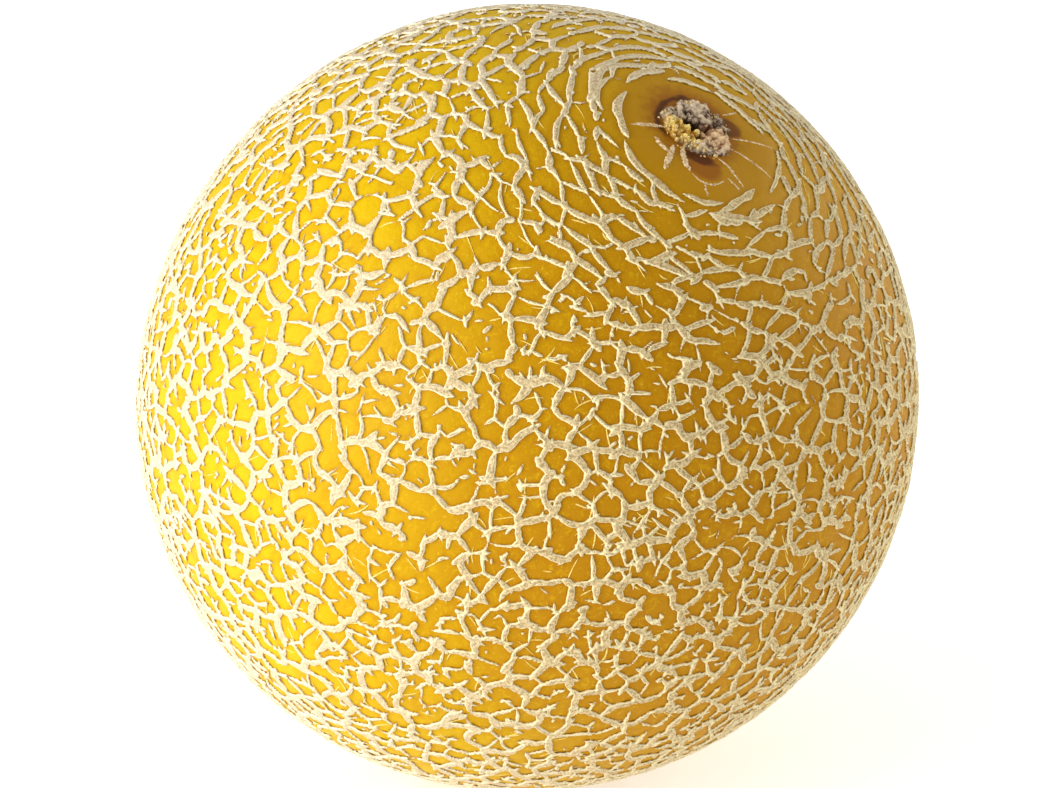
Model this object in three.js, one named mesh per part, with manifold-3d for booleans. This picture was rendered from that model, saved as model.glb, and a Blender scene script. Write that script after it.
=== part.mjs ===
// A galia melon: one solid fruit, lying on the small flat spot that its own weight gives it.
// Units are millimetres, +Z is up, and the origin is the centre of the base of the bounding box.
// The stem end leans up, to the right and a little to the front (-Y).
import * as THREE from "three";
import { mergeVertices } from "three/addons/utils/BufferGeometryUtils.js";
import Module from "manifold-3d";

// Driving dimensions. Heights are along the stem axis, measured from the middle of the fruit.
const EQUATOR_RADIUS = 69.5; // over the netting, at the widest ring
const STEM_END_HEIGHT = 70.6;
const BLOSSOM_END_HEIGHT = 70.2;

// The stem end: a wide shallow hollow with the low round plug of cork that the stem left in it.
const HOLLOW_RADIUS = 15;
const HOLLOW_DEPTH = 1.3;
const SCAR_RADIUS = 8;
const SCAR_HEIGHT = 0.9;
const SCAR_SHOULDER = 2.5; // distance over which the plug runs down to the skin

// The blossom end: a small, slightly flattened disc.
const BLOSSOM_RADIUS = 9;
const BLOSSOM_DEPTH = 0.6;

// The way the fruit lies: where its stem axis points.
const STEM_DIRECTION = new THREE.Vector3(0.417, -0.362, 0.833).normalize();
const FLAT_SPOT_RADIUS = 14;

// Broad swellings and flats that keep the fruit from being a true ball.
// toward is a direction from its middle, rise its height and spread its half-width in radians.
const SWELLINGS = [
  { toward: new THREE.Vector3(-0.77, 0.22, 0.6), rise: -1.1, spread: 0.5 },
  { toward: new THREE.Vector3(-0.5, -0.3, -0.81), rise: 0.6, spread: 0.6 },
  { toward: new THREE.Vector3(0.72, -0.24, -0.65), rise: 0.5, spread: 0.6 },
  { toward: new THREE.Vector3(0.15, 0.97, 0.1), rise: -0.6, spread: 0.7 },
];

// Fineness of the faceted solid.
const SEGMENTS = 64;
const FINE_STEP = 2;
const COARSE_STEP = 5.4;

const smoothStep = THREE.MathUtils.smoothstep;

// How far the end surfaces stand above (+) or below (-) the plain ellipse, at a radius from the axis.
function stemEndRelief(radius) {
  const hollow = -HOLLOW_DEPTH * (1 - smoothStep(radius, 0, HOLLOW_RADIUS));
  const plug = 1 - smoothStep(radius, SCAR_RADIUS - SCAR_SHOULDER, SCAR_RADIUS);
  return hollow + SCAR_HEIGHT * plug;
}

function blossomEndRelief(radius) {
  return -BLOSSOM_DEPTH * (1 - smoothStep(radius, 0, BLOSSOM_RADIUS));
}

// Angles from the blossom end to the stem end, closer together around the scar.
function profileAngles() {
  const angles = [0];
  const fineZone = Math.PI - HOLLOW_RADIUS / EQUATOR_RADIUS;
  const coarseRings = Math.round((fineZone * EQUATOR_RADIUS) / COARSE_STEP);
  for (let ring = 1; ring <= coarseRings; ring++) {
    angles.push((fineZone * ring) / coarseRings);
  }
  const fineRings = Math.round(HOLLOW_RADIUS / FINE_STEP);
  for (let ring = 1; ring < fineRings; ring++) {
    angles.push(fineZone + ((Math.PI - fineZone) * ring) / fineRings);
  }
  angles.push(Math.PI);
  return angles;
}

// Half outline of the fruit beside its stem axis, from the blossom end up.
function profilePoint(angle) {
  const radius = EQUATOR_RADIUS * Math.sin(angle);
  if (angle < Math.PI / 2) {
    const height = -BLOSSOM_END_HEIGHT * Math.cos(angle) - blossomEndRelief(radius);
    return new THREE.Vector2(radius, height);
  }
  const height = -STEM_END_HEIGHT * Math.cos(angle) + stemEndRelief(radius);
  return new THREE.Vector2(radius, height);
}

function outline() {
  const points = profileAngles().map(profilePoint);
  points[0].x = 0;
  points[points.length - 1].x = 0;
  return points;
}

function turnStemAxis(geometry) {
  const turn = new THREE.Quaternion().setFromUnitVectors(
    new THREE.Vector3(0, 1, 0),
    STEM_DIRECTION,
  );
  return geometry.applyQuaternion(turn);
}

function rise(direction) {
  let total = 0;
  for (const swelling of SWELLINGS) {
    const angle = direction.angleTo(swelling.toward);
    total += swelling.rise * Math.exp(-((angle / swelling.spread) ** 2));
  }
  return total;
}

function addSwellings(geometry) {
  const position = geometry.getAttribute("position");
  const point = new THREE.Vector3();
  for (let i = 0; i < position.count; i++) {
    point.fromBufferAttribute(position, i);
    const direction = point.clone().normalize();
    point.addScaledVector(direction, rise(direction));
    position.setXYZ(i, point.x, point.y, point.z);
  }
  return geometry;
}

// Manifold-3d solids, for the one cut that makes the flat spot.
const wasm = await Module();
wasm.setup();

function toSolid(geometry) {
  const bare = geometry.clone();
  bare.deleteAttribute("normal");
  bare.deleteAttribute("uv");
  const merged = mergeVertices(bare, 1e-4);
  const mesh = new wasm.Mesh({
    numProp: 3,
    vertProperties: merged.getAttribute("position").array,
    triVerts: new Uint32Array(merged.index.array),
  });
  return new wasm.Manifold(mesh);
}

function toGeometry(solid) {
  const mesh = solid.getMesh();
  const geometry = new THREE.BufferGeometry();
  geometry.setAttribute("position", new THREE.BufferAttribute(mesh.vertProperties, 3));
  geometry.setIndex(new THREE.BufferAttribute(mesh.triVerts, 1));
  geometry.computeVertexNormals();
  return geometry;
}

// Everything below the flat spot's plane is taken off. Its depth follows from its radius on a ball.
function flattenUnderside(geometry) {
  geometry.computeBoundingBox();
  const lowest = geometry.boundingBox.min.z;
  const depth = EQUATOR_RADIUS - Math.sqrt(EQUATOR_RADIUS ** 2 - FLAT_SPOT_RADIUS ** 2);
  const width = 3 * EQUATOR_RADIUS;
  const cutter = new THREE.BoxGeometry(width, width, width);
  cutter.translate(0, 0, lowest + depth - width / 2);
  return toGeometry(toSolid(geometry).subtract(toSolid(cutter)));
}

// The origin goes to the centre of the base of the bounding box.
function standOnOrigin(geometry) {
  geometry.computeBoundingBox();
  const { min, max } = geometry.boundingBox;
  return geometry.translate(-(min.x + max.x) / 2, -(min.y + max.y) / 2, -min.z);
}

function buildMelon() {
  const body = addSwellings(turnStemAxis(new THREE.LatheGeometry(outline(), SEGMENTS)));
  const rind = new THREE.MeshStandardMaterial({
    color: 0xe2b43c,
    roughness: 0.45,
    metalness: 0,
  });
  const mesh = new THREE.Mesh(standOnOrigin(flattenUnderside(body)), rind);
  mesh.name = "melon";
  return mesh;
}

const melon = new THREE.Group();
melon.name = "galia_melon";
melon.add(buildMelon());

export default melon;
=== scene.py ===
"""Looks for the galia melon: a closed yellow rind, the raised cork netting over it and the dry stem scar.

The netting is real geometry. Spindle-shaped strokes are laid over the fruit, a field says how far inside a
stroke each point of a fine grid lies, and the grid is cut where the field is zero and raised inside that.
Lengths are in millimetres until a mesh is made. Directions are unit vectors from the middle of the fruit.
"""

import math

import bmesh
import bpy
import numpy as np
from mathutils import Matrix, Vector


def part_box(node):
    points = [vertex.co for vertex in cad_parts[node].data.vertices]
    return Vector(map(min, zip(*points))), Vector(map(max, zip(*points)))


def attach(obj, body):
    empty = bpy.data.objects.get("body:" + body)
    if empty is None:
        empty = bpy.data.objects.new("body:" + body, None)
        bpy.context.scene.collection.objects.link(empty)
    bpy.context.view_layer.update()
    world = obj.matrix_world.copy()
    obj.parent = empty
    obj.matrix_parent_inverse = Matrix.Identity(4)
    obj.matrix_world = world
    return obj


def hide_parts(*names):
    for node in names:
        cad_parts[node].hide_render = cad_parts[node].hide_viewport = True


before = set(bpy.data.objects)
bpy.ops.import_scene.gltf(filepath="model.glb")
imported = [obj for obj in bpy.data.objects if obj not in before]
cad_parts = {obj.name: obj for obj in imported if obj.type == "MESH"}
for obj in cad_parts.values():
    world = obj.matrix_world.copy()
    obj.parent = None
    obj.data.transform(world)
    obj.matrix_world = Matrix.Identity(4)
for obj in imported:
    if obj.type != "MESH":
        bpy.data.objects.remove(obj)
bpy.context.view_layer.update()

MM = 0.001
RNG = np.random.default_rng(20)


# ---------------------------------------------------------------- directions and the fruit's own frame

def unit(vectors):
    """Vectors scaled to length one."""
    return vectors / np.linalg.norm(vectors, axis=-1, keepdims=True)


def frame_about(axis):
    """Three unit vectors: the axis, one square to it towards +X, and one square to both."""
    axis = unit(np.array(axis, float))
    across = unit(np.array([1.0, 0, 0]) - axis[0] * axis)
    return axis, across, np.cross(axis, across)


STEM_FRAME = frame_about((0.417, -0.362, 0.833))
STEM, STEM_A, STEM_B = STEM_FRAME
POLE_FRAME = frame_about(STEM - 0.03 * STEM_B)  # the rings of netting run round this point
POLE = POLE_FRAME[0]

low, high = (np.array(corner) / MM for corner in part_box("melon"))
MIDDLE = (low + high) / 2
RADIUS = float((high - low).mean() / 2)


def from_polar(angle, turn, basis):
    """Directions at an angle from basis[0], turned about it from basis[1] towards basis[2]."""
    axis, a, b = basis
    angle, turn = np.asarray(angle)[..., None], np.asarray(turn)[..., None]
    return np.cos(angle) * axis + np.sin(angle) * (np.cos(turn) * a + np.sin(turn) * b)


def to_polar(directions, basis):
    """The angle from basis[0] and the turn about it."""
    axis, a, b = basis
    angle = np.arccos(np.clip(directions @ axis, -1, 1))
    return angle, np.arctan2(directions @ b, directions @ a)


def smooth_step(x, start, end):
    t = np.clip((x - start) / (end - start), 0, 1)
    return t * t * (3 - 2 * t)


class Noise:
    """Smooth random values from -1 to 1, with features about one unit across."""

    SIZE = 32

    def __init__(self, seed):
        rng = np.random.default_rng(seed)
        self.table = rng.uniform(-1, 1, (self.SIZE,) * 3)

    def __call__(self, points):
        whole = np.floor(points).astype(int)
        t = points - whole
        t = t * t * (3 - 2 * t)
        total = 0.0
        for dx in (0, 1):
            for dy in (0, 1):
                for dz in (0, 1):
                    corner = (whole + (dx, dy, dz)) % self.SIZE
                    weight = (
                        np.abs(1 - dx - t[..., 0])
                        * np.abs(1 - dy - t[..., 1])
                        * np.abs(1 - dz - t[..., 2])
                    )
                    total = total + weight * self.table[corner[..., 0], corner[..., 1], corner[..., 2]]
        return total


def vector_noise(points, seed):
    return np.stack([Noise(seed + axis)(points) for axis in range(3)], axis=-1)


# ---------------------------------------------------------------- the envelope, from the CAD solid

def monomials(directions, degree=6):
    """All products of x, y and z of this degree and the one below: smooth shapes over a ball."""
    x, y, z = directions.T
    columns = []
    for total in (degree, degree - 1):
        for i in range(total + 1):
            for j in range(total + 1 - i):
                columns.append(x**i * y**j * z ** (total - i - j))
    return np.stack(columns, axis=1)


def fit_envelope():
    """A smooth surface through the CAD solid's corners, leaving out its flat spot and its two ends."""
    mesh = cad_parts["melon"].data
    corners = np.empty(len(mesh.vertices) * 3)
    mesh.vertices.foreach_get("co", corners)
    arms = corners.reshape(-1, 3) / MM - MIDDLE
    directions = unit(arms)
    beside_ends = np.abs(directions @ STEM) < math.cos(16 / RADIUS)
    above_flat = directions[:, 2] > -math.cos(16 / RADIUS)
    keep = beside_ends & above_flat
    return np.linalg.lstsq(
        monomials(directions[keep]), np.linalg.norm(arms[keep], axis=1), rcond=None
    )[0]


ENVELOPE = fit_envelope()
NET_HEIGHT = 0.4
HOLLOW_RADIUS = 17.0
HOLLOW_DEPTH = 1.3
BLOSSOM_RADIUS = 9.0
BLOSSOM_DEPTH = 0.5
SKIN_NOISE = Noise(3)


def skin_radius(directions):
    """Distance from the middle to the smooth skin under the netting."""
    shape = directions.shape[:-1]
    flat = directions.reshape(-1, 3)
    radius = monomials(flat) @ ENVELOPE - NET_HEIGHT
    from_stem = np.arccos(np.clip(flat @ STEM, -1, 1)) * RADIUS
    from_blossom = np.arccos(np.clip(-(flat @ STEM), -1, 1)) * RADIUS
    radius -= HOLLOW_DEPTH * (1 - smooth_step(from_stem, 0, HOLLOW_RADIUS))
    radius -= BLOSSOM_DEPTH * (1 - smooth_step(from_blossom, 0, BLOSSOM_RADIUS))
    radius += 0.12 * SKIN_NOISE(flat * RADIUS / 7)
    return radius.reshape(shape)


# ---------------------------------------------------------------- where the strokes of the netting run

RING_ZONE = (math.radians(16), math.radians(44))  # rings round the stem fade out between these
RING_STRETCH = 2.3  # how much longer than wide the cells are next to the stem
RING_ROOM = 0.3  # and how much larger they are there
CELL = 4.3
COARSE_CELL = 10.5
SMOOTH_ZONE = 15.2  # radius of the part with no netting round the stem
WIDE = (0.46, 0.80)  # half-widths of the ridges between coarse cells
THIN = (0.22, 0.43)  # and of all others
WIDE_ROUND = 0.72  # in the ring zone, a wall nearer than this to running round the stem is wide
MAYBE_ROUND = 0.45  # and one over this is wide now and then
LEFT_OUT = 0.13  # share of the thin walls that are left out
BROKEN_OFF = 0.36  # thin walls up to this share are broken off
WHOLE = 0.93  # share of the wide walls that are whole
BOW = 0.07  # spread of how far walls bend, as a share of their length
LONG_OVERSHOOTS = 0.42
THORN_SHARE = 0.22
THORN_LENGTH = (1.0, 2.4)
THORN_HALF = (0.18, 0.32)
TICKS = 1300
TICK_HALF = (0.16, 0.32)
BEND = (0.45, 4.5)  # how far strokes are shifted, and over what length
TREMBLE = (0.10, 1.6)  # the same for a finer shift on top
FINE_CRACKS = 1100
CRUMBS = 70
STROKE_STEP = 0.7  # length of the pieces that a stroke is made of


def warp_table():
    """Angles from the pole, and where they are moved to so that even cells come back stretched."""
    angle = np.linspace(1e-3, math.pi - 1e-3, 4000)
    stretch = 1 + (RING_STRETCH - 1) * (1 - smooth_step(angle, *RING_ZONE))
    slope = stretch / np.sin(angle)
    steps = (slope[1:] + slope[:-1]) / 2 * np.diff(angle)
    level = np.concatenate([[0], np.cumsum(steps)])
    level -= np.interp(math.pi / 2, angle, level)
    return angle, 2 * np.arctan(np.exp(level))


TRUE_ANGLE, WARPED_ANGLE = warp_table()


def warp(directions):
    angle, turn = to_polar(directions, POLE_FRAME)
    return from_polar(np.interp(angle, TRUE_ANGLE, WARPED_ANGLE), turn, POLE_FRAME)


def unwarp(directions):
    angle, turn = to_polar(directions, POLE_FRAME)
    return from_polar(np.interp(angle, WARPED_ANGLE, TRUE_ANGLE), turn, POLE_FRAME)


def scattered(count):
    """Random directions, with room round each: the farthest of a few candidates is kept each time."""
    kept = np.empty((count, 3))
    kept[0] = POLE
    candidates = 5
    for i in range(1, count):
        true = unit(RNG.normal(size=(candidates, 3)))
        tries = warp(true)
        local = np.interp(to_polar(true, POLE_FRAME)[0], TRUE_ANGLE, LOCAL_SCALE)
        nearest = (tries @ kept[:i].T).max(axis=1)
        gap = np.arccos(np.clip(nearest, -1, 1)) / local
        kept[i] = tries[gap.argmax()]
    return kept


def local_scale():
    """How much the warp shrinks a cell's area, as a length, at each angle of the table."""
    along = np.gradient(WARPED_ANGLE, TRUE_ANGLE)
    around = np.sin(WARPED_ANGLE) / np.sin(TRUE_ANGLE)
    roomy = 1 + RING_ROOM * (1 - smooth_step(TRUE_ANGLE, *RING_ZONE))
    return np.sqrt(along * around) * roomy


LOCAL_SCALE = local_scale()


def cell_walls(seeds):
    """The walls between the cells of these points: their two ends, and the two cells that each divides."""
    hull = bmesh.new()
    for seed in seeds:
        hull.verts.new(seed)
    hull.verts.ensure_lookup_table()
    bmesh.ops.convex_hull(hull, input=hull.verts)
    bmesh.ops.triangulate(hull, faces=hull.faces)
    hull.verts.index_update()
    starts, ends, cells = [], [], []
    for edge in hull.edges:
        if len(edge.link_faces) != 2:
            continue
        one, two = (face.calc_center_median() for face in edge.link_faces)
        normals = [face.normal.copy() for face in edge.link_faces]
        for normal, centre in zip(normals, (one, two)):
            if normal.dot(centre) < 0:
                normal.negate()
        starts.append(normals[0])
        ends.append(normals[1])
        cells.append([v.index for v in edge.verts])
    hull.free()
    return unit(np.array(starts)), unit(np.array(ends)), np.array(cells)


class Strokes:
    """A growing list of short straight pieces, each with a half-width at both ends."""

    def __init__(self):
        self.points = []
        self.widths = []

    def add(self, directions, widths):
        self.points.append(directions)
        self.widths.append(np.maximum(widths, 0.0))

    def pieces(self, wander):
        """Both ends of every piece on the ball, moved by wander, and the two half-widths."""
        starts = np.concatenate([p[:-1] for p in self.points])
        ends = np.concatenate([p[1:] for p in self.points])
        w0 = np.concatenate([w[:-1] for w in self.widths])
        w1 = np.concatenate([w[1:] for w in self.widths])
        return wander(starts), wander(ends), w0, w1


def wandered(directions):
    """Points on the ball, shifted a little so that straight strokes bend."""
    points = directions * RADIUS
    bend = BEND[0] * vector_noise(points / BEND[1], 40)
    tremble = TREMBLE[0] * vector_noise(points / TREMBLE[1], 50)
    return unit(points + bend + tremble) * RADIUS


def spindle(position, bluntness):
    """Share of the full width along a stroke: thickest near the middle, pointed at both ends."""
    return np.clip(1 - np.abs(2 * position - 1) ** bluntness, 0, 1)


def round_the_stem(middle, along):
    """How nearly a stroke runs round the pole, and how much that matters where it lies."""
    axial = unit(np.cross(POLE, middle))
    zone = 1 - smooth_step(to_polar(middle, POLE_FRAME)[0], *RING_ZONE)
    return abs(float(unit(along) @ axial)), float(zone)


def wall_width(thick, roundness, zone):
    """A half-width for one wall: wide where coarse cells meet or where it runs round the stem."""
    wide = thick
    if zone > RNG.random():
        wide = roundness > WIDE_ROUND or (roundness > MAYBE_ROUND and RNG.random() < 0.3)
    if wide:
        return RNG.uniform(*WIDE) * (1 - 0.15 * zone)
    return RNG.uniform(*THIN) * (1 - 0.3 * zone)


def overshoot():
    """How far a wall runs on past the place where it meets others, in mm."""
    return RNG.uniform(1.0, 2.6) if RNG.random() < LONG_OVERSHOOTS else RNG.uniform(0.3, 0.7)


def add_wall(strokes, start, end, thick):
    """One wall between two cells: whole, broken off in a point, or left out."""
    true = unwarp(np.stack([start, end]))
    length = float(np.linalg.norm(true[1] - true[0])) * RADIUS
    if length < 0.15:
        return
    roundness, zone = round_the_stem(unit(true.sum(axis=0)), true[1] - true[0])
    half = wall_width(thick, roundness, zone)
    fate = RNG.random()
    if half < THIN[1] and fate < LEFT_OUT + 0.15 * zone:
        return
    first, last = overshoot() / length, overshoot() / length
    reach = 1 + last
    if (half < THIN[1] and fate < BROKEN_OFF) or fate > WHOLE:
        reach = RNG.uniform(0.45, 0.8)
    total = first + reach
    steps = max(4, math.ceil(length * total / STROKE_STEP))
    position = np.linspace(0, 1, steps + 1)
    along = position * total - first
    bow = RNG.normal(0, BOW) * np.sin(math.pi * np.clip(along, 0, 1))
    side = np.cross(start, end - start)
    line = unit(start + along[:, None] * (end - start) + bow[:, None] * side)
    lean = position ** RNG.uniform(0.7, 1.4)
    strokes.add(unwarp(line), half * spindle(lean, RNG.uniform(1.4, 2.6)))


def add_thorn(strokes, base, along, length, half):
    """A short pointed stroke standing out of another."""
    position = np.linspace(0, 1, 4)
    line = unit(base + position[:, None] * along * (length / RADIUS))
    strokes.add(line, half * (1 - position) ** 0.7)


def add_tick(strokes, centre, along, length, half):
    """A short separate stroke, pointed at both ends."""
    position = np.linspace(-0.5, 0.5, 5)
    line = unit(centre + position[:, None] * along * (length / RADIUS))
    strokes.add(line, half * np.sqrt(np.clip(1 - (2 * position) ** 2, 0, 1)))


def tangent(direction):
    """A random direction along the surface, mostly round the stem where rings run."""
    roundward = np.cross(POLE, direction)
    zone = 1 - smooth_step(to_polar(direction, POLE_FRAME)[0], *RING_ZONE)
    free = np.cross(direction, RNG.normal(size=3))
    return unit(unit(free) + 2.5 * zone * unit(roundward))


# Broken ridges round the smooth part at the stem: half-width, then turns in degrees and distances.
RING_ARCS = (
    (0.85, ((163, 13.3), (188, 14.6), (213, 14.7))),
    (0.75, ((211, 15.5), (231, 17.0), (250, 17.7), (266, 19.1))),
    (0.60, ((260, 17.3), (275, 17.5), (290, 16.7))),
    (0.75, ((284, 19.1), (299, 16.3), (321, 14.6))),
    (0.70, ((278, 19.4), (298, 19.5), (311, 21.0))),
    (0.50, ((326, 17.3), (344, 16.4), (362, 16.4), (373, 16.0))),
    (0.60, ((20, 14.9), (38, 13.2), (56, 12.4), (73, 12.7))),
    (0.50, ((70, 12.2), (92, 12.0), (107, 12.0), (118, 11.8))),
    (0.75, ((110, 13.9), (134, 14.3), (156, 14.3))),
    (0.80, ((128, 16.0), (150, 18.6), (163, 18.7), (181, 17.6), (190, 17.2))),
)


def add_ring_arcs(strokes):
    for half, knots in RING_ARCS:
        turns, distances = np.array(knots, float).T
        length = math.radians(turns[-1] - turns[0]) * distances.mean()
        turn = np.linspace(turns[0], turns[-1], math.ceil(length / STROKE_STEP) + 1)
        distance = np.interp(turn, turns, distances)
        position = np.linspace(-1, 1, len(turn))
        widths = half * (1 - np.abs(position) ** 3) * (0.95 + 0.14 * np.sin(7 * position + half * 40))
        strokes.add(from_polar(distance / RADIUS, np.radians(turn), STEM_FRAME), widths)


def inside_smooth_zone(directions):
    """Whether they lie in the part with no netting, which reaches farthest on the side away from STEM_B."""
    angle, turn = to_polar(directions, STEM_FRAME)
    return angle * RADIUS < SMOOTH_ZONE - 2.9 * np.sin(turn) + 1.6


def build_strokes():
    area = 4 * math.pi * RADIUS**2
    seeds = scattered(round(area / (0.866 * CELL**2)))
    groups = scattered(round(area / (0.866 * COARSE_CELL**2)))
    group = np.concatenate([(part @ groups.T).argmax(axis=1) for part in np.array_split(seeds, 8)])
    starts, ends, cells = cell_walls(seeds)
    strokes = Strokes()
    for start, end, (one, two) in zip(starts, ends, cells):
        middle = unwarp(unit(start + end)[None])[0]
        if inside_smooth_zone(middle):
            continue
        add_wall(strokes, start, end, group[one] != group[two])
        if RNG.random() < THORN_SHARE:
            at = unwarp(unit(start + RNG.uniform(0.2, 0.8) * (end - start))[None])[0]
            add_thorn(strokes, at, tangent(at), RNG.uniform(*THORN_LENGTH), RNG.uniform(*THORN_HALF))
    for centre in unit(RNG.normal(size=(TICKS, 3))):
        if inside_smooth_zone(centre):
            continue
        length = RNG.choice([0.5, 1.4, 2.4], p=[0.3, 0.4, 0.3]) * RNG.uniform(0.7, 1.3)
        add_tick(strokes, centre, tangent(centre), length, RNG.uniform(*TICK_HALF))
    add_ring_arcs(strokes)
    return strokes


# ---------------------------------------------------------------- grids over the fruit

# Each side of a cube puffed out into a ball: its name, its middle, and its two directions.
SIDES = (
    ("right", (1, 0, 0), (0, 1, 0), (0, 0, 1)),
    ("left", (-1, 0, 0), (0, -1, 0), (0, 0, 1)),
    ("back", (0, 1, 0), (-1, 0, 0), (0, 0, 1)),
    ("front", (0, -1, 0), (1, 0, 0), (0, 0, 1)),
    ("top", (0, 0, 1), (1, 0, 0), (0, 1, 0)),
    ("under", (0, 0, -1), (1, 0, 0), (0, -1, 0)),
)


class Grid:
    """A square grid of directions over one side of the ball, with a margin of extra rows round it."""

    def __init__(self, side, cells, margin=0):
        _, middle, a, b = side
        self.axes = np.array([middle, a, b], float)
        self.cells = cells
        self.margin = margin
        self.step = math.pi / 2 / cells
        self.size = cells + 1 + 2 * margin
        angle = (np.arange(self.size) - margin - cells / 2) * self.step
        across, up = np.meshgrid(np.tan(angle), np.tan(angle), indexing="ij")
        arms = self.axes[0] + across[..., None] * self.axes[1] + up[..., None] * self.axes[2]
        self.directions = unit(arms)

    def place(self, directions):
        """The grid row and column nearest to each direction, and which of them face this side."""
        depth, across, up = (directions @ axis for axis in self.axes)
        faces = depth > 0.4
        depth = np.where(faces, depth, 1)
        offset = self.margin + self.cells / 2
        row = np.rint(np.arctan2(across, depth) / self.step + offset).astype(int)
        column = np.rint(np.arctan2(up, depth) / self.step + offset).astype(int)
        return row, column, faces


FIELD_SOFTNESS = 0.045  # how softly strokes flow together where they meet
OUTSIDE = -1.2  # the field where no stroke is near
RAGGED_SIZE = 0.6  # length of the small waves along the netting's edge


def paint(grid, pieces, beyond, ragged):
    """How far inside a stroke each grid point is, in mm, and its place across it: 0 middle, 1 edge."""
    starts, ends, w0, w1 = pieces
    total = np.zeros((grid.size, grid.size))
    across = np.ones((grid.size, grid.size))
    points = grid.directions * RADIUS
    points = points + ragged * vector_noise(points / RAGGED_SIZE, 60)
    row, column, faces = grid.place(unit(starts + ends))
    reach = np.maximum(w0, w1) + beyond + 0.5
    window = np.ceil(reach / (RADIUS * grid.step * 0.7)).astype(int)
    near = faces & (np.minimum(row, column) > -window) & (np.maximum(row, column) < grid.size + window)
    for half in np.unique(window[near]):
        chosen = np.flatnonzero(near & (window == half))
        offsets = np.arange(-half, half + 1)
        i = row[chosen, None, None] + offsets[None, :, None]
        j = column[chosen, None, None] + offsets[None, None, :]
        i, j = np.broadcast_arrays(i, j)
        ok = (i >= 0) & (i < grid.size) & (j >= 0) & (j < grid.size)
        which = np.broadcast_to(chosen[:, None, None], i.shape)[ok]
        i, j = i[ok], j[ok]
        a, b = starts[which], ends[which]
        line = b - a
        length2 = np.maximum((line * line).sum(axis=1), 1e-9)
        arm = points[i, j] - a
        t = np.clip((arm * line).sum(axis=1) / length2, 0, 1)
        gap = np.linalg.norm(arm - t[:, None] * line, axis=1)
        width = w0[which] + t * (w1[which] - w0[which])
        depth = width - gap
        close = depth > -beyond
        i, j, depth, gap, width = i[close], j[close], depth[close], gap[close], width[close]
        np.add.at(total, (i, j), np.exp(depth / FIELD_SOFTNESS))
        np.minimum.at(across, (i, j), gap / np.maximum(width, 0.05))
    field = np.where(total > 0, FIELD_SOFTNESS * np.log(np.maximum(total, 1e-300)), OUTSIDE)
    return np.maximum(field, OUTSIDE), across


# ---------------------------------------------------------------- meshes

FLAT_SKIN = 0.35  # height of the skin over the floor on the flat spot, where the netting is pressed flat
TUCK = 0.14  # how far the netting's edge is sunk in the skin
RISE_WIDTH = 0.2  # how far in from its edge the netting reaches its full height
SKIN_PUFF = 0.16  # how much the skin swells between the ridges
PIT_DEPTH = 1.5  # of the pit in the stem scar
WELL = (3.2, 5.0)  # the rind is sunk under the scar's pit, and comes back up between these distances
GROOVE = 0.11  # depth of the groove along the wide ridges
TOP_ROUGH = 0.05  # height of the lumps on the netting
FINE_ROUGH = 0.04  # and of the finer ones
RAGGED = 0.07  # height of the waves along the netting's edge
NET_CELLS = 330
SKIN_CELLS = 96


def on_fruit(directions, radius, floor):
    """Points in the part's own frame, kept above the flat spot."""
    points = MIDDLE + directions * radius[..., None]
    points[..., 2] = np.maximum(points[..., 2], floor)
    return points


def new_mesh(name, points, faces, uv=None, values=None, normals=None):
    """An object from points in mm and arrays of face corners, all of one length in each array."""
    mesh = bpy.data.meshes.new(name)
    corners = np.concatenate([f.ravel() for f in faces])
    totals = np.concatenate([np.full(len(f), f.shape[1]) for f in faces])
    starts = np.concatenate([[0], np.cumsum(totals)[:-1]])
    mesh.vertices.add(len(points))
    mesh.vertices.foreach_set("co", (points * MM).astype(np.float32).ravel())
    mesh.loops.add(len(corners))
    mesh.loops.foreach_set("vertex_index", corners.astype(np.int32))
    mesh.polygons.add(len(totals))
    mesh.polygons.foreach_set("loop_start", starts.astype(np.int32))
    mesh.polygons.foreach_set("loop_total", totals.astype(np.int32))
    mesh.update(calc_edges=True)
    mesh.polygons.foreach_set("use_smooth", np.ones(len(totals), bool))
    if uv is not None:
        layer = mesh.uv_layers.new(name="OFBake")
        layer.data.foreach_set("uv", uv(corners).astype(np.float32).ravel())
    for key, value in (values or {}).items():
        attribute = mesh.attributes.new(key, "FLOAT", "POINT")
        attribute.data.foreach_set("value", value.astype(np.float32))
    if normals is not None:
        mesh.normals_split_custom_set_from_vertices(normals.astype(np.float32))
    mesh.validate()
    piece = bpy.data.objects.new(name, mesh)
    bpy.context.scene.collection.objects.link(piece)
    return piece


def square_outlines():
    """The corners and cut edges round the inside part of a grid square, for each pattern of inside corners.

    Corners 0 to 3 run round the square, and edge 4 + k lies between corner k and the next one.
    """
    outlines = {}
    for pattern in range(1, 16):
        outline = []
        for k in range(4):
            inside, following = pattern >> k & 1, pattern >> (k + 1) % 4 & 1
            if inside:
                outline.append(k)
            if inside != following:
                outline.append(4 + k)
        outlines[pattern] = outline
    return outlines


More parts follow.
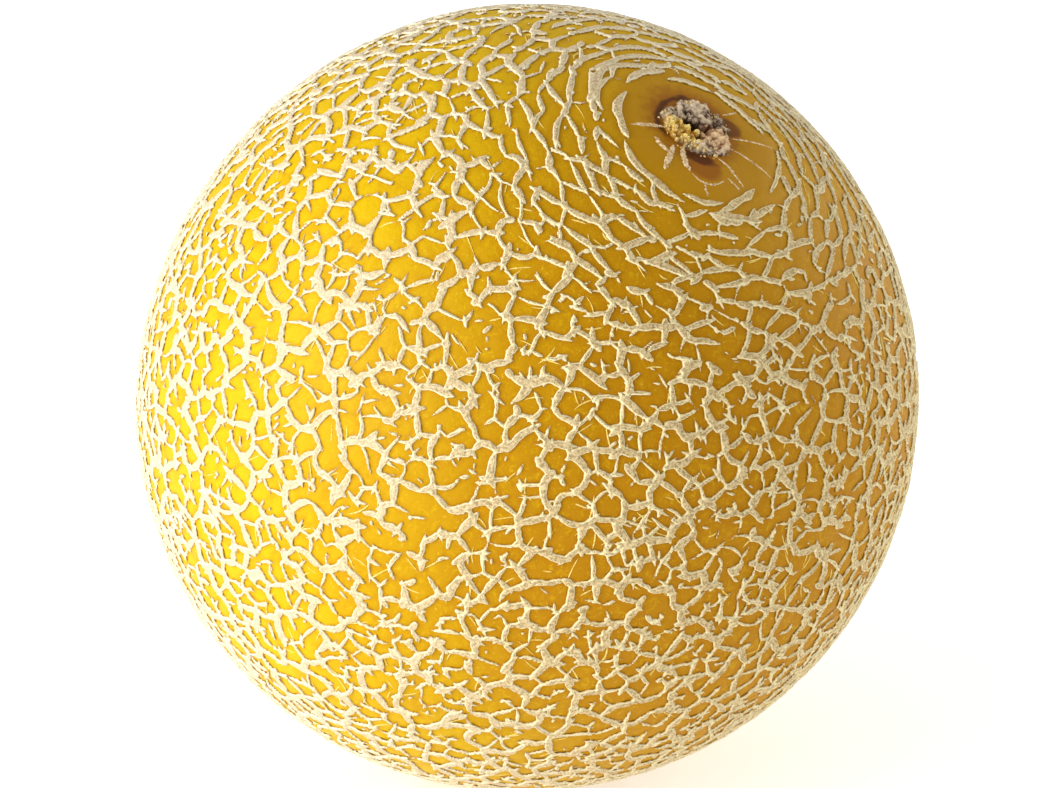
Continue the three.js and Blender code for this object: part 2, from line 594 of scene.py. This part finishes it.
def cut_grid(field):
    """Faces over the part of a grid where field > 0, and their points as mixes of two grid points each."""
    n = field.shape[0]
    inside = field > 0
    corner = np.full(field.shape, -1)
    firsts, seconds, shares = [], [], []
    rows, columns = np.nonzero(inside)
    corner[rows, columns] = np.arange(len(rows))
    ids = rows * n + columns
    firsts.append(ids)
    seconds.append(ids)
    shares.append(np.zeros(len(ids)))
    count = len(ids)
    edges = []
    for dr, dc in ((1, 0), (0, 1)):
        a, b = field[: n - dr, : n - dc], field[dr:, dc:]
        crossed = (a > 0) != (b > 0)
        rows, columns = np.nonzero(crossed)
        index = np.full(field.shape, -1)
        index[rows, columns] = count + np.arange(len(rows))
        count += len(rows)
        fa, fb = a[rows, columns], b[rows, columns]
        firsts.append(rows * n + columns)
        seconds.append((rows + dr) * n + columns + dc)
        shares.append(np.clip(fa / (fa - fb), 0.02, 0.98))
        edges.append(index)
    along_row, along_column = edges
    c = inside.astype(int)
    pattern = c[:-1, :-1] | c[1:, :-1] << 1 | c[1:, 1:] << 2 | c[:-1, 1:] << 3
    slots = [
        corner[:-1, :-1], corner[1:, :-1], corner[1:, 1:], corner[:-1, 1:],
        along_row[:-1, :-1], along_column[1:, :-1], along_row[:-1, 1:], along_column[:-1, :-1],
    ]
    faces = {}
    for key, outline in square_outlines().items():
        rows, columns = np.nonzero(pattern == key)
        if len(rows):
            face = np.stack([slots[k][rows, columns] for k in outline], axis=1)
            faces.setdefault(len(outline), []).append(face)
    joined = [np.concatenate(group) for group in faces.values()]
    mixes = tuple(np.concatenate(parts) for parts in (firsts, seconds, shares))
    return joined, mixes


def mixed(values, mixes):
    """Values at grid points, carried over to the points that cut_grid made."""
    first, second, share = mixes
    flat = values.reshape(len(values) ** 2, -1)
    share = share[:, None]
    return flat[first] * (1 - share) + flat[second] * share


TOP_NOISE = Noise(8)
FINE_NOISE = Noise(9)


def net_piece(side, cells, pieces):
    """The netting over one side of the fruit."""
    grid = Grid(side, cells, margin=1)
    field, across = paint(grid, pieces, beyond=0.6, ragged=RAGGED)
    points = grid.directions * RADIUS
    lift = np.sin(math.pi / 2 * np.clip(field / RISE_WIDTH, 0, 1))
    thick = smooth_step(field / np.maximum(1 - across, 0.2), 0.35, 0.6)
    groove = GROOVE * thick * (1 - smooth_step(across, 0.0, 0.4))
    rough = TOP_ROUGH * TOP_NOISE(points / 0.8) + FINE_ROUGH * FINE_NOISE(points / 0.45)
    height = -TUCK + lift * (NET_HEIGHT + TUCK - groove + rough)
    floor = (FLAT_SKIN + TUCK) * (1 - lift)
    points = on_fruit(grid.directions, skin_radius(grid.directions) + height, floor)
    slope_a = np.gradient(points, axis=0)
    slope_b = np.gradient(points, axis=1)
    normals = unit(np.cross(slope_a, slope_b))
    inner = slice(1, -1)
    field, points, normals = (x[inner, inner] for x in (field, points, normals))
    faces, mixes = cut_grid(field)
    rows, columns = np.meshgrid(np.arange(cells + 1), np.arange(cells + 1), indexing="ij")
    places = mixed(np.stack([rows, columns], axis=-1) / cells, mixes)
    return new_mesh(
        "netting_" + side[0],
        mixed(points, mixes),
        faces,
        uv=lambda corners: places[corners] * 0.98 + 0.01,
        values={"inside": np.maximum(mixed(field, mixes)[:, 0], 0)},
        normals=unit(mixed(normals, mixes)),
    )


def skin_piece(cells, pieces):
    """The smooth skin all over, as one closed surface."""
    points, places, nearness = [], [], []
    faces = []
    size = cells + 1
    i, j = np.meshgrid(np.arange(cells), np.arange(cells), indexing="ij")
    quad = np.stack([i * size + j, (i + 1) * size + j, (i + 1) * size + j + 1, i * size + j + 1], axis=-1)
    for number, side in enumerate(SIDES):
        grid = Grid(side, cells)
        field, _ = paint(grid, pieces, beyond=1.1, ragged=0)
        puff = SKIN_PUFF * (1 - smooth_step(field, OUTSIDE, -0.2))
        from_stem = np.arccos(np.clip(grid.directions @ STEM, -1, 1)) * RADIUS
        well = (PIT_DEPTH + 0.2) * (1 - smooth_step(from_stem, *WELL))
        radius = skin_radius(grid.directions) + puff - SKIN_PUFF / 2 - well
        points.append(on_fruit(grid.directions, radius, FLAT_SKIN).reshape(-1, 3))
        rows, columns = np.meshgrid(np.arange(size), np.arange(size), indexing="ij")
        place = np.stack([rows, columns], axis=-1).reshape(-1, 2) / cells * 0.96 + 0.02
        places.append((place + (number % 3, number // 3)) / (3, 2))
        nearness.append(field.ravel())
        faces.append(quad.reshape(-1, 4) + number * size * size)
    points, places, nearness = (np.concatenate(x) for x in (points, places, nearness))
    faces = np.concatenate(faces)
    _, first, index = np.unique(np.round(points, 3), axis=0, return_index=True, return_inverse=True)
    index = index.ravel()
    corner_places = places[faces.ravel()]
    return new_mesh(
        "rind",
        points[first],
        [index[faces]],
        uv=lambda corners: corner_places,
        values={"near_net": nearness[first]},
    )


# ---------------------------------------------------------------- the stem scar

SCAR_NOISE = Noise(12)
SCAR_SIZE = 6.8  # mean radius
SCAR_REACH = 9.4
SCAR_STEP = 0.11
STEM_POINT = MIDDLE + STEM * skin_radius(STEM[None])[0]


def beside_stem(u, v):
    """Directions at distances u and v, in mm along the skin, from the stem."""
    return from_polar(np.hypot(u, v) / RADIUS, np.arctan2(v, u), STEM_FRAME)


def scar_shape(u, v):
    """How far inside the scar's outline each place is, its height over the skin, and its share of pit."""
    flat = np.zeros_like(u)
    spot = np.stack([u, v, flat], axis=-1)
    distance = np.hypot(u, v)
    turn = np.arctan2(v, u)
    circle = np.stack([np.cos(turn), np.sin(turn), flat], axis=-1)
    outline = SCAR_SIZE + 0.9 * SCAR_NOISE(circle * 1.3 + 5) + 0.5 * SCAR_NOISE(circle * 4 + 9)
    inside = outline + 0.35 * SCAR_NOISE(spot / 0.7 + 3) - distance
    lumps = SCAR_NOISE(spot / 1.9)
    folds = 1 - 2 * np.abs(SCAR_NOISE(spot / 1.2 + 20))
    fibres = SCAR_NOISE(np.stack([u / 2.6 + v / 3, v / 0.4, flat], axis=-1) + 30)
    crumbs = SCAR_NOISE(spot / 0.75 + 15) + 0.5 * SCAR_NOISE(spot / 0.35 + 25)
    upper = smooth_step(v, -1.0, 1.5)
    height = 0.85 + 0.4 * lumps + 0.3 * folds + 0.45 * upper * fibres + (0.6 - 0.3 * upper) * crumbs
    off_centre = np.hypot((u + 0.3) / 1.9, (v - 0.2) / 1.2) + 0.4 * SCAR_NOISE(spot / 0.9 + 40)
    pit = 1 - smooth_step(off_centre, 0.5, 1.4)
    slits = smooth_step(0.2 - np.abs(SCAR_NOISE(spot / 1.3 + 60)), 0, 0.14)
    pit = np.maximum(pit, 0.6 * slits * (1 - smooth_step(distance, 2.6, 5.0)))
    height = smooth_step(inside, 0, 0.8) * (height - PIT_DEPTH * pit)
    return inside, height, pit


def scar_piece():
    """The dry cork where the stem broke off: a ragged plug with a pit in its middle."""
    steps = np.arange(-SCAR_REACH, SCAR_REACH, SCAR_STEP)
    u, v = np.meshgrid(steps, steps, indexing="ij")
    inside, height, pit = scar_shape(u, v)
    directions = beside_stem(u, v)
    points = on_fruit(directions, skin_radius(directions) + height - 0.12, 0)
    normals = unit(np.cross(np.gradient(points, axis=0), np.gradient(points, axis=1)))
    faces, mixes = cut_grid(inside)
    places = mixed(np.stack([u, v], axis=-1), mixes) / (2 * SCAR_REACH) + 0.5
    return new_mesh(
        "stem_scar",
        mixed(points, mixes),
        faces,
        uv=lambda corners: places[corners],
        values={"pit": mixed(pit, mixes)[:, 0], "height": mixed(height, mixes)[:, 0]},
        normals=unit(mixed(normals, mixes)),
    )


def crumb_piece(count):
    """Loose cork crumbs round the scar, most of them on its lower left."""
    ball = bmesh.new()
    bmesh.ops.create_icosphere(ball, subdivisions=1, radius=1)
    shape = np.array([v.co for v in ball.verts])
    corners = np.array([[v.index for v in f.verts] for f in ball.faces])
    ball.free()
    points, faces = [], []
    for number in range(count):
        turn = RNG.normal(math.radians(232), 0.5) if RNG.random() < 0.6 else RNG.uniform(0, 2 * math.pi)
        distance = RNG.normal(5.8, 0.8)
        u, v = distance * math.cos(turn), distance * math.sin(turn)
        centre_direction = beside_stem(np.array([u]), np.array([v]))
        _, height, _ = scar_shape(np.array([u]), np.array([v]))
        centre = on_fruit(centre_direction, skin_radius(centre_direction) + np.maximum(height, 0), 0)[0]
        size = RNG.uniform(0.16, 0.42)
        lumpy = shape * (1 + 0.45 * SCAR_NOISE(shape * 1.4 + number * 3.7))[:, None]
        squash = RNG.uniform(0.6, 1.3, 3)
        points.append(centre + lumpy * squash * size)
        faces.append(corners + number * len(shape))
    return new_mesh("stem_crumbs", np.concatenate(points), [np.concatenate(faces)])


CRACK_WIDENING = 1.5  # every half-width in the table is made this much larger

# Cracks and slivers beside the scar: half-width, height, then places from the stem.
STEM_CRACKS = (
    (0.30, 0.25, ((-5.4, -2.2), (-9.0, -3.3), (-12.2, -4.4))),
    (0.30, 0.80, ((3.1, -1.6), (3.5, -3.6), (3.4, -6.0))),
    (0.17, 0.15, ((3.4, -5.4), (5.9, -6.8), (7.6, -8.8), (9.3, -10.8))),
    (0.15, 0.12, ((5.4, -2.0), (8.6, -2.7), (11.7, -3.9), (15.0, -5.4))),
    (0.15, 0.12, ((6.3, 0.5), (9.8, 1.5), (12.2, 2.0), (15.6, 2.9))),
    (0.13, 0.10, ((5.0, 6.0), (6.9, 7.2), (8.3, 8.6))),
    (0.42, 0.35, ((-4.0, -6.0), (-5.1, -9.8), (-5.9, -13.2))),
    (0.32, 0.30, ((-7.8, -5.6), (-6.8, -7.2), (-4.8, -8.7))),
    (0.34, 0.40, ((-2.4, -5.6), (-2.5, -8.2), (-1.9, -10.3), (-1.0, -11.7))),
    (0.15, 0.12, ((-1.2, -11.4), (0.2, -12.8), (1.6, -13.2), (3.1, -12.9), (4.4, -12.0), (5.9, -9.8))),
    (0.13, 0.10, ((1.6, -13.1), (1.9, -14.3), (2.3, -15.8))),
    (0.15, 0.12, ((6.0, -9.8), (7.2, -10.9), (8.5, -11.7))),
)


def stem_cracks():
    lines = []
    for half, height, knots in STEM_CRACKS:
        u, v = np.array(knots).T
        knot = np.arange(len(knots))
        at = np.linspace(0, len(knots) - 1, 10 * len(knots))
        u, v = np.interp(at, knot, u), np.interp(at, knot, v)
        u = u + 0.12 * RNG.normal(size=len(at))
        position = np.linspace(-1, 1, len(at))
        widths = CRACK_WIDENING * half * (1 - np.abs(position) ** 3)
        halves = widths * RNG.uniform(0.75, 1.15, len(at)) + 0.02
        lines.append((beside_stem(u, v), halves, height))
    return lines


def fine_cracks(count):
    """Hair-fine pale cracks between the ridges."""
    lines = []
    for centre in unit(RNG.normal(size=(count, 3))):
        if inside_smooth_zone(centre):
            continue
        along = tangent(centre)
        side = np.cross(centre, along)
        position = np.linspace(-1, 1, 7)
        bow = RNG.normal(0, 0.12) * (1 - position**2)
        shift = position[:, None] * along + bow[:, None] * side
        line = unit(centre + shift * (RNG.uniform(0.7, 2.4) / RADIUS))
        halves = RNG.uniform(0.09, 0.17) * np.sqrt(1 - 0.97 * position**2)
        lines.append((line, halves, 0.06))
    return lines


# Across a ribbon: each line's place as a share of the half-width, and whether it is raised.
RIBBON_PROFILE = ((-1.0, 0), (-0.5, 1), (0.5, 1), (1.0, 0))


def ribbon_piece(name, lines):
    """Narrow flat-topped strips on the skin, as one mesh."""
    points, faces, places = [], [], []
    count = 0
    for number, (directions, halves, height) in enumerate(lines):
        size = len(directions)
        sideways = unit(np.cross(directions, np.gradient(directions, axis=0))) * (halves / RADIUS)[:, None]
        top = (height + SKIN_PUFF / 2) * halves / halves.max()
        for out, raised in RIBBON_PROFILE:
            line = unit(directions + out * sideways)
            points.append(on_fruit(line, skin_radius(line) + raised * top, FLAT_SKIN))
            row = (number + 0.5 + 0.4 * out) / len(lines)
            places.append(np.stack([np.linspace(0.01, 0.99, size), np.full(size, row)], axis=1))
        k = count + np.arange(size - 1)
        for strip in range(len(RIBBON_PROFILE) - 1):
            near, far = k + strip * size, k + (strip + 1) * size
            faces.append(np.stack([near, near + 1, far + 1, far], axis=1))
        count += len(RIBBON_PROFILE) * size
    points, faces, places = (np.concatenate(x) for x in (points, faces, places))
    return new_mesh(name, points, [faces], uv=lambda corners: places[corners])


# ---------------------------------------------------------------- materials

def srgb(red, green, blue):
    """A linear colour from 8-bit sRGB values."""
    channels = [c / 255 for c in (red, green, blue)]
    return tuple(c / 12.92 if c <= 0.04045 else ((c + 0.055) / 1.055) ** 2.4 for c in channels) + (1.0,)


class Material:
    """A node material with short calls for the nodes that are used here."""

    def __init__(self, name):
        self.material = bpy.data.materials.new(name)
        self.material.use_nodes = True
        self.tree = self.material.node_tree
        self.shader = self.tree.nodes["Principled BSDF"]

    def node(self, kind, inputs=(), **settings):
        node = self.tree.nodes.new(kind)
        for key, value in settings.items():
            setattr(node, key, value)
        for key, value in dict(inputs).items():
            self.feed(node.inputs[key], value)
        return node

    def feed(self, socket, value):
        if isinstance(value, bpy.types.NodeSocket):
            self.tree.links.new(value, socket)
        else:
            socket.default_value = value

    def position(self):
        return self.node("ShaderNodeTexCoord").outputs["Object"]

    def attribute(self, name):
        return self.node("ShaderNodeAttribute", attribute_name=name).outputs["Fac"]

    def noise(self, size_mm, detail=3.0, roughness=0.55, distortion=0.0):
        inputs = {
            "Vector": self.position(),
            "Scale": 1 / (size_mm * MM),
            "Detail": detail,
            "Roughness": roughness,
            "Distortion": distortion,
        }
        return self.node("ShaderNodeTexNoise", inputs).outputs["Fac"]

    def ramp(self, value, start, end):
        node = self.node(
            "ShaderNodeMapRange",
            {"Value": value, "From Min": start, "From Max": end},
            interpolation_type="SMOOTHSTEP",
        )
        return node.outputs["Result"]

    def maths(self, operation, a, b=0.0):
        return self.node("ShaderNodeMath", {0: a, 1: b}, operation=operation).outputs[0]

    def vector_maths(self, operation, a, b):
        node = self.node("ShaderNodeVectorMath", {0: a, 1: b}, operation=operation)
        return node.outputs["Value" if operation == "DOT_PRODUCT" else "Vector"]

    def mix(self, share, a, b, blend="MIX"):
        node = self.node("ShaderNodeMix", data_type="RGBA", blend_type=blend)
        self.feed(node.inputs["Factor"], share)
        self.feed(node.inputs["A"], a)
        self.feed(node.inputs["B"], b)
        return node.outputs["Result"]

    def bump(self, height, distance_mm, strength=1.0, normal=None):
        inputs = {"Height": height, "Distance": distance_mm * MM, "Strength": strength}
        if normal is not None:
            inputs["Normal"] = normal
        return self.node("ShaderNodeBump", inputs).outputs["Normal"]

    def finish(self, colour, normal, roughness, **sockets):
        self.feed(self.shader.inputs["Base Color"], colour)
        self.feed(self.shader.inputs["Normal"], normal)
        self.feed(self.shader.inputs["Roughness"], roughness)
        for key, value in sockets.items():
            self.feed(self.shader.inputs[key.replace("_", " ")], value)
        return self.material


def stem_place(m):
    """Distances in mm from the stem along the two stem directions."""
    arm = m.vector_maths("SUBTRACT", m.position(), tuple(STEM_POINT * MM))
    return [m.vector_maths("DOT_PRODUCT", arm, tuple(axis / MM)) for axis in (STEM_A, STEM_B)]


def spot(m, place, centre, radii, blur=0.25, ragged=0.5):
    """A patch with a blurred, uneven edge: 1 inside it and 0 outside."""
    squares = []
    for value, middle, radius in zip(place, centre, radii):
        scaled = m.maths("MULTIPLY", m.maths("SUBTRACT", value, middle), 1 / radius)
        squares.append(m.maths("MULTIPLY", scaled, scaled))
    distance = m.maths("SQRT", m.maths("ADD", *squares))
    distance = m.maths("ADD", distance, m.maths("MULTIPLY", m.noise(1.6, 4), ragged))
    edge = 1 + ragged / 2
    return m.maths("SUBTRACT", 1.0, m.ramp(distance, edge - blur, edge + blur))


def over(m, share, strength, below, above):
    """One colour laid over another through a mask."""
    return m.mix(m.maths("MULTIPLY", share, strength), below, above)


# Painted shade: the side right of the middle as the camera sees it is painted darker and more ochre,
# standing in for the shade that falls there.
SHADED_SIDE = unit(np.array([0.62, -0.75, 0.08]))


def painted_shade_side(m):
    """Painted shade: 0 where the fruit is bright yellow, on the side towards the key light, and 1 on its
    deep ochre side right of the middle as the camera sees it, where shade falls.
    """
    arm = m.vector_maths("SUBTRACT", m.position(), tuple(MIDDLE * MM))
    side = m.vector_maths("DOT_PRODUCT", arm, tuple(SHADED_SIDE / (RADIUS * MM)))
    drift = m.maths("MULTIPLY", m.noise(38, 2), 0.5)
    return m.ramp(m.maths("ADD", side, drift), 0.3, 1.18)


def stained(m, plain):
    """The smooth ochre skin round the stem, with its brown ring and stains, and the small blossom scar."""
    place = stem_place(m)
    u, v = place
    arm = m.vector_maths("SUBTRACT", m.position(), tuple(MIDDLE * MM))
    stem_side = m.ramp(m.vector_maths("DOT_PRODUCT", arm, tuple(STEM)), 0, 0.01)
    blossom = over(m, spot(m, place, (0, 0), (5, 5), 0.5, 0.8), 0.7, plain, srgb(150, 92, 20))
    colour = plain
    colour = over(m, spot(m, place, (0, 0), (30, 30), 0.5, 0.5), 0.5, colour, srgb(190, 140, 0))
    colour = over(m, spot(m, place, (0, -1), (15, 16), 0.2, 0.25), 0.75, colour, srgb(176, 126, 0))
    colour = over(m, spot(m, place, (-0.5, 0.5), (8.6, 8.6), 0.3, 0.7), 0.75, colour, srgb(140, 74, 4))
    distance = m.maths("SQRT", m.maths("ADD", m.maths("MULTIPLY", u, u), m.maths("MULTIPLY", v, v)))
    uneven = m.maths("ADD", distance, m.maths("MULTIPLY", m.noise(1.8, 3), 2.0))
    off_ring = m.maths("ABSOLUTE", m.maths("SUBTRACT", uneven, 8.0))
    ring = m.maths("SUBTRACT", 1.0, m.ramp(off_ring, 0.2, 0.9))
    upper_left = m.maths("ADD", m.maths("MULTIPLY", u, -0.92), m.maths("MULTIPLY", v, 0.39))
    ring = m.maths("MULTIPLY", ring, m.ramp(m.maths("DIVIDE", upper_left, distance), 0.3, 0.65))
    colour = over(m, ring, 0.9, colour, srgb(78, 42, 8))
    colour = over(m, spot(m, place, (6.1, 3.2), (2.6, 2.2)), 0.85, colour, srgb(104, 56, 12))
    colour = over(m, spot(m, place, (1.5, -9.2), (3.3, 2.9)), 0.85, colour, srgb(146, 82, 0))
    colour = over(m, spot(m, place, (0.4, -7.4), (3.0, 1.5)), 0.9, colour, srgb(80, 36, 6))
    return m.mix(stem_side, blossom, colour)


def rind_material():
    m = Material("rind")
    # Bright yellow towards the key light, painted darker ochre on the shaded side.
    colour = m.mix(painted_shade_side(m), srgb(214, 176, 0), srgb(180, 125, 0))
    colour = over(m, m.ramp(m.noise(5, 4), 0.45, 0.75), 0.4, colour, srgb(186, 128, 0))
    colour = over(m, m.ramp(m.noise(1.3, 3, distortion=1.2), 0.5, 0.75), 0.35, colour, srgb(228, 190, 12))
    colour = over(m, m.ramp(m.noise(0.6, 2), 0.64, 0.74), 0.4, colour, srgb(238, 206, 70))
    # Painted shade: the skin is painted darker next to the raised ridges, at their feet.
    colour = over(m, m.ramp(m.attribute("near_net"), -0.7, 0.0), 0.3, colour, srgb(176, 112, 0))
    colour = stained(m, colour)
    wrinkles = m.noise(0.9, 4, 0.6, distortion=0.6)
    normal = m.bump(wrinkles, 0.1)
    normal = m.bump(m.noise(0.25, 2), 0.02, normal=normal)
    roughness = m.ramp(m.noise(2.2, 3), 0.0, 1.0)
    roughness = m.maths("MULTIPLY_ADD", roughness, 0.2)
    roughness.node.inputs[2].default_value = 0.42
    return m.finish(colour, normal, roughness, Specular_IOR_Level=0.1)


def netting_material():
    m = Material("netting")
    inside = m.attribute("inside")
    grain = m.noise(0.5, 4, 0.75)
    # Painted shade: the netting's dark grains are painted darker on the shaded side of the fruit.
    shade_share = painted_shade_side(m)
    shaded_dark_grain = m.mix(shade_share, srgb(204, 186, 144), srgb(158, 134, 92))
    core = m.mix(m.ramp(grain, 0.34, 0.62), shaded_dark_grain, srgb(234, 214, 168))
    rim = m.mix(m.ramp(grain, 0.2, 0.7), srgb(240, 224, 170), srgb(255, 248, 208))
    colour = m.mix(m.ramp(inside, 0.16, 0.3), rim, core)
    colour = over(m, m.ramp(m.noise(1.4, 3), 0.5, 0.75), 0.25, colour, srgb(196, 168, 114))
    # Painted shade: the netting's edge, where it meets the skin, is painted darker orange.
    shaded_foot = m.maths("SUBTRACT", 1.0, m.ramp(inside, 0.0, 0.09))
    colour = over(m, shaded_foot, 0.8, colour, srgb(166, 108, 20))
    # Painted shade: the netting is tinted warmer and darker on the shaded side, a little bluer on the lit
    # side.
    tint = m.mix(shade_share, (0.99, 0.99, 1.12, 1), (0.97, 0.93, 0.84, 1))
    colour = m.mix(1.0, colour, tint, blend="MULTIPLY")
    middle = m.maths("MULTIPLY", m.ramp(inside, 0.16, 0.3), 0.6)
    lip = m.maths("SUBTRACT", m.ramp(inside, 0.02, 0.14), middle)
    normal = m.bump(lip, 0.12, 0.8)
    normal = m.bump(grain, 0.2, 0.9, normal=normal)
    return m.finish(colour, normal, 0.85, Specular_IOR_Level=0.2)


def scar_material():
    m = Material("stem_scar")
    place = stem_place(m)
    # Painted highlight and shade: higher places on the scar are painted paler and lower ones darker, on top
    # of the cork's own grain.
    grain = m.maths("ADD", m.noise(0.8, 4, 0.7), m.maths("MULTIPLY", m.attribute("height"), 0.22))
    grain = m.maths("SUBTRACT", grain, 0.2)
    colour = m.mix(m.ramp(grain, 0.32, 0.66), srgb(92, 66, 50), srgb(224, 202, 170))
    yellow = m.mix(m.ramp(grain, 0.4, 0.62), srgb(204, 150, 30), srgb(250, 226, 130))
    colour = over(m, spot(m, place, (-2.6, -2.2), (3.6, 2.8), 0.3), 0.9, colour, yellow)
    tan = m.mix(m.ramp(grain, 0.35, 0.6), srgb(168, 116, 78), srgb(230, 196, 150))
    colour = over(m, spot(m, place, (3.6, -1.4), (3.2, 2.8), 0.3), 0.85, colour, tan)
    # The pit and its slits are painted near-black: dark dried tissue with painted shade in the recess.
    colour = over(m, m.ramp(m.attribute("pit"), 0.25, 0.7), 0.92, colour, srgb(46, 26, 10))
    normal = m.bump(grain, 0.3)
    return m.finish(colour, normal, 0.9, Specular_IOR_Level=0.15)


def crumb_material():
    m = Material("crumbs")
    grain = m.noise(0.5, 4, 0.7)
    colour = m.mix(m.ramp(grain, 0.35, 0.65), srgb(196, 150, 60), srgb(244, 224, 160))
    return m.finish(colour, m.bump(grain, 0.15), 0.9, Specular_IOR_Level=0.15)


def crack_material(name, dark, pale):
    m = Material(name)
    grain = m.noise(0.5, 3, 0.6)
    colour = m.mix(m.ramp(grain, 0.3, 0.7), dark, pale)
    return m.finish(colour, m.bump(grain, 0.08), 0.8, Specular_IOR_Level=0.15)


# ---------------------------------------------------------------- build

def put_on(piece, material):
    piece.data.materials.append(material)
    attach(piece, "root")
    return piece


def build_fruit():
    pieces = build_strokes().pieces(wandered)
    rind = put_on(skin_piece(SKIN_CELLS, pieces), rind_material())
    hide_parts("melon")
    cork = netting_material()
    for side in SIDES:
        put_on(net_piece(side, NET_CELLS, pieces), cork)
    yellow = crack_material("fine_cracks", srgb(218, 180, 64), srgb(246, 224, 140))
    put_on(ribbon_piece("fine_cracks", fine_cracks(FINE_CRACKS)), yellow)
    cream = crack_material("stem_cracks", srgb(186, 140, 80), srgb(244, 226, 186))
    put_on(ribbon_piece("stem_cracks", stem_cracks()), cream)
    put_on(scar_piece(), scar_material())
    put_on(crumb_piece(CRUMBS), crumb_material())


CAMERA_ELEVATION = 20.0
CAMERA_DISTANCE = 0.9
CAMERA_LENS = 172.5


def build_camera():
    data = bpy.data.cameras.new("camera")
    data.lens = CAMERA_LENS
    data.clip_start = 0.01
    camera = bpy.data.objects.new("camera", data)
    bpy.context.scene.collection.objects.link(camera)
    slope = math.radians(CAMERA_ELEVATION)
    back = Vector((0, -math.cos(slope), math.sin(slope)))
    camera.location = Vector(MIDDLE * MM) + CAMERA_DISTANCE * back
    camera.rotation_euler = (math.pi / 2 - slope, 0, 0)
    bpy.context.scene.camera = camera


def add_area_light(name, location, size, power):
    data = bpy.data.lights.new(name, "AREA")
    data.shape = "RECTANGLE"
    data.size, data.size_y = size
    data.energy = power
    light = bpy.data.objects.new(name, data)
    light.location = location
    aim = Vector(MIDDLE * MM) - Vector(location)
    light.rotation_euler = aim.to_track_quat("-Z", "Y").to_euler()
    bpy.context.scene.collection.objects.link(light)


FLOOR_GLOW = 0.45


def build_studio():
    bpy.ops.mesh.primitive_plane_add(size=8, location=(0, 0, -0.0002))
    floor = bpy.context.object
    floor.name = "floor"
    m = Material("floor")
    tone = m.mix(m.noise(60, 2), srgb(240, 240, 240), srgb(246, 246, 246))
    m.feed(m.shader.inputs["Emission Color"], (1, 1, 1, 1))
    glow = {"Emission_Strength": FLOOR_GLOW}
    floor.data.materials.append(m.finish(tone, m.bump(m.noise(4, 2), 0.01), 0.7, **glow))
    world = bpy.data.worlds.new("studio")
    world.use_nodes = True
    world.node_tree.nodes["Background"].inputs["Color"].default_value = (1, 1, 1, 1)
    world.node_tree.nodes["Background"].inputs["Strength"].default_value = 0.55
    bpy.context.scene.world = world
    add_area_light("key", (-1.15, -0.6, 0.4), (1.2, 1.2), 25)
    add_area_light("rim", (0.9, 0.45, 0.3), (0.9, 0.9), 5)
    bpy.context.scene.view_settings.view_transform = "Standard"


build_camera()
build_studio()
build_fruit()
